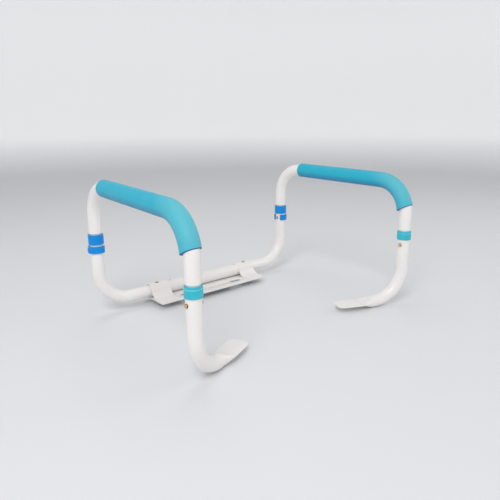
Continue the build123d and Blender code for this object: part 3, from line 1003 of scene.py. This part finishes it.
def saddle_path(offset):
    """The saddle's section in (y, z) without its flanges: blend, tube, blend."""
    tube_r = CROSS_R + offset
    foot_z = PLATE_TOP_Z + offset

    def blend(radius, side):
        """A blend's centre, and the turn round the tube at which the two meet."""
        rise = CROSS_AXIS_Z - foot_z - radius
        run = math.sqrt((tube_r + radius) ** 2 - rise**2)
        return (REAR_POST[1] + side * run, foot_z + radius), math.atan2(-rise, side * run)

    front_r, rear_r = SADDLE_FRONT_BLEND_R - offset, SADDLE_REAR_BLEND_R - offset
    front, front_turn = blend(front_r, -1)
    rear, rear_turn = blend(rear_r, 1)
    front_turn %= 2 * math.pi
    axis = (REAR_POST[1], CROSS_AXIS_Z)
    points = arc_points(front, front_r, -math.pi / 2, front_turn - math.pi, SADDLE_FRONT_POINTS)
    points += arc_points(axis, tube_r, front_turn, rear_turn, SADDLE_TUBE_POINTS)[1:]
    points += arc_points(rear, rear_r, rear_turn + math.pi, 3 * math.pi / 2, SADDLE_REAR_POINTS)[1:]
    return points, foot_z


def saddle():
    """The pressed cover over one end of the cross tube, with a flange front and back."""
    over, over_z = saddle_path(SADDLE_THICK)
    under, under_z = saddle_path(SADDLE_GAP)
    turns = [math.pi / 2 * k / SADDLE_CORNER_STEPS for k in range(SADDLE_CORNER_STEPS + 1)]
    columns = [PLATE_CORNER_R * (1 - math.cos(t)) for t in turns]
    columns += spread(PLATE_CORNER_R, SADDLE_INNER_X + PLATE_HALF_X, SADDLE_STEP)[1:]
    columns.append(SADDLE_INNER_X + PLATE_HALF_X)
    rings = []
    for column in columns:
        short = max(0.0, PLATE_CORNER_R - column)
        cut = PLATE_CORNER_R - math.sqrt(PLATE_CORNER_R**2 - short**2)
        front_y, rear_y = PLATE_FRONT_Y + cut, PLATE_REAR_Y - cut
        section = [(front_y, over_z), *over, (rear_y, over_z), (rear_y, under_z), *reversed(under)]
        section.append((front_y, under_z))
        rings.append([Vector((column - PLATE_HALF_X, y, z)) for y, z in section])
    cover = skin("right_saddle_detailed", rings, closed=False)
    bevel(cover, SADDLE_EDGE)
    drill(cover, (WIDTH_BUTTON_X, REAR_POST[1], CROSS_AXIS_Z), AXIS_Z, 2 * CROSS_R, SADDLE_HOLE_R)
    return cover


# ---------------------------------------------------------------- the object

plate = layer("mounting_plate_detailed", PAD_THICK, PLATE_TOP_Z, 0)
place(plate, "bracket", "bracket_white", ["mounting_plate"])
pad = layer("bracket_pad_detailed", 0, PAD_THICK, PAD_INSET)
place(pad, "bracket", "pad_rubber", ["bracket_pad"])
place(cross_tube(), "bracket", "bracket_white", ["cross_tube"])
right_saddle = saddle()
left_saddle = mirrored(right_saddle, "left_saddle_detailed")
for side, cover in (("right", right_saddle), ("left", left_saddle)):
    place(cover, "bracket", "bracket_white", [f"{side}_saddle"])
place_pair(rear_leg(), "rear_leg", "legs", "tube_white")
place_pair(front_leg(), "front_leg", "legs", "tube_white")
place_pair(front_collar(), "front_collar", "legs", "collar_turquoise")
place_pair(rear_collar(), "rear_collar", "legs", "collar_blue")
place_pair(handle_tube(), "handle_tube", "handle", "tube_white")

right_grip = grip("right")
left_grip = grip("left")
left_grip.data.transform(Matrix.Diagonal((-1, 1, 1, 1)))
left_grip.data.flip_normals()
for side, sleeve in (("right", right_grip), ("left", left_grip)):
    place(sleeve, f"{side}_handle", "foam_turquoise", [f"{side}_handle_grip"], sharp=50)

width_button = button(
    "right_width_button_detailed",
    (WIDTH_BUTTON_X, REAR_POST[1], CROSS_AXIS_Z),
    AXIS_Z,
    WIDTH_BUTTON_BASE,
    WIDTH_BUTTON_TIP,
)
place_pair(width_button, "width_button", "width_button", "button_brass")
for end, post, button_z in (("front", FRONT_POST, FRONT_BUTTON_Z), ("rear", REAR_POST, REAR_BUTTON_Z)):
    for facing, direction in (("inner", AXIS_X), ("outer", -AXIS_X)):
        part = f"{end}_button_{facing}"
        knob = button(f"right_{part}_detailed", (*post, button_z), direction, BUTTON_BASE, BUTTON_TIP)
        place_pair(knob, part, part, "button_brass")

# The nodes that no piece has replaced are the leaf springs
for node in frame["nodes"].values():
    if not node.hide_render:
        node.data.materials.clear()
        node.data.materials.append(materials["spring_steel"])


# ---------------------------------------------------------------- stage

# Studio, in metres
FLOOR_R = 3.0
FLOOR_RINGS = 6
FLOOR_SEGMENTS = 96
COVE_R = 1.2
WALL_TOP = 3.4
GLOW_FROM = -0.01
GLOW_TO = 0.25
WALL_GLOW = 0.3
WORLD_LIGHT = 0.3

# Name, place, size and power of each soft light
LIGHTS = (
    ("key_light", (-1.5, -1.3, 1.9), 1.2, 29),
    ("fill_light", (1.7, -1.2, 1.1), 1.4, 5.5),
    ("top_light", (0.2, 0.5, 2.3), 1.6, 10),
)

# Camera
CAMERA_PLACE = (-0.6312, -0.8855, 0.3761)
CAMERA_AZIMUTH = math.radians(-40.26)
CAMERA_ELEVATION = math.radians(14.70)
CAMERA_ROLL = math.radians(-0.415)
CAMERA_LENS = 35.15


def stage_shell():
    """A round pale floor that curves up into a wall on every side."""
    floor_z = cad_low.z
    profile = [(FLOOR_R * k / FLOOR_RINGS, floor_z) for k in range(1, FLOOR_RINGS + 1)]
    profile += arc_points((FLOOR_R, floor_z + COVE_R), COVE_R, -math.pi / 2, 0, 12)[1:]
    profile.append((FLOOR_R + COVE_R, WALL_TOP))
    bm = bmesh.new()
    middle = bm.verts.new((0, 0, floor_z))
    turns = [2 * math.pi * k / FLOOR_SEGMENTS for k in range(FLOOR_SEGMENTS)]
    rings = [[bm.verts.new((r * math.cos(t), r * math.sin(t), z)) for t in turns] for r, z in profile]
    for k in range(FLOOR_SEGMENTS):
        bm.faces.new((rings[0][k - 1], rings[0][k], middle))
        for here, there in zip(rings, rings[1:]):
            bm.faces.new((here[k - 1], there[k - 1], there[k], here[k]))
    mesh = bpy.data.meshes.new("studio_floor")
    bm.to_mesh(mesh)
    bm.free()
    shell = show("studio_floor", mesh)
    mesh.shade_smooth()
    finish = Finish("studio_floor", (226, 227, 229), 0.85)
    finish.mix(finish.ranged(finish.noise(1.5, 2), 0.3, 0.7, 0, 0.3), (224, 225, 227))
    finish.glow(finish.ranged(finish.height(), GLOW_FROM, GLOW_TO, 0, WALL_GLOW))
    mesh.materials.append(finish.done(finish.noise(4), 0.05))


def softbox(name, light_place, target, size, power):
    """A large soft light that faces a point."""
    data = bpy.data.lights.new(name, "AREA")
    data.shape = "DISK"
    data.size = size
    data.energy = power
    lamp = bpy.data.objects.new(name, data)
    lamp.location = light_place
    lamp.rotation_euler = (target - Vector(light_place)).to_track_quat("-Z", "Y").to_euler()
    bpy.context.scene.collection.objects.link(lamp)


def world(strength):
    """Even pale light from all round."""
    made = bpy.data.worlds.new("studio_world")
    made.use_nodes = True
    background = made.node_tree.nodes["Background"]
    background.inputs["Color"].default_value = (1.0, 1.0, 1.0, 1)
    background.inputs["Strength"].default_value = strength
    bpy.context.scene.world = made


def camera():
    """The camera at the reference viewing angle."""
    data = bpy.data.cameras.new("camera")
    data.lens = CAMERA_LENS
    eye = bpy.data.objects.new("camera", data)
    bpy.context.scene.collection.objects.link(eye)
    level = math.cos(CAMERA_ELEVATION)
    back = Vector((
        math.sin(CAMERA_AZIMUTH) * level,
        -math.cos(CAMERA_AZIMUTH) * level,
        math.sin(CAMERA_ELEVATION),
    ))
    right = (-back).cross(AXIS_Z).normalized()
    up = right.cross(-back)
    rolled_right = right * math.cos(CAMERA_ROLL) + up * math.sin(CAMERA_ROLL)
    rolled_up = up * math.cos(CAMERA_ROLL) - right * math.sin(CAMERA_ROLL)
    turn = Matrix((rolled_right, rolled_up, back)).transposed()
    eye.matrix_world = Matrix.Translation(CAMERA_PLACE) @ turn.to_4x4()
    bpy.context.scene.camera = eye


stage_shell()
centre = (cad_low + cad_high) / 2
for name, light_place, size, power in LIGHTS:
    softbox(name, light_place, centre, size, power)
world(WORLD_LIGHT)
camera()
bpy.context.scene.view_settings.view_transform = "Standard"
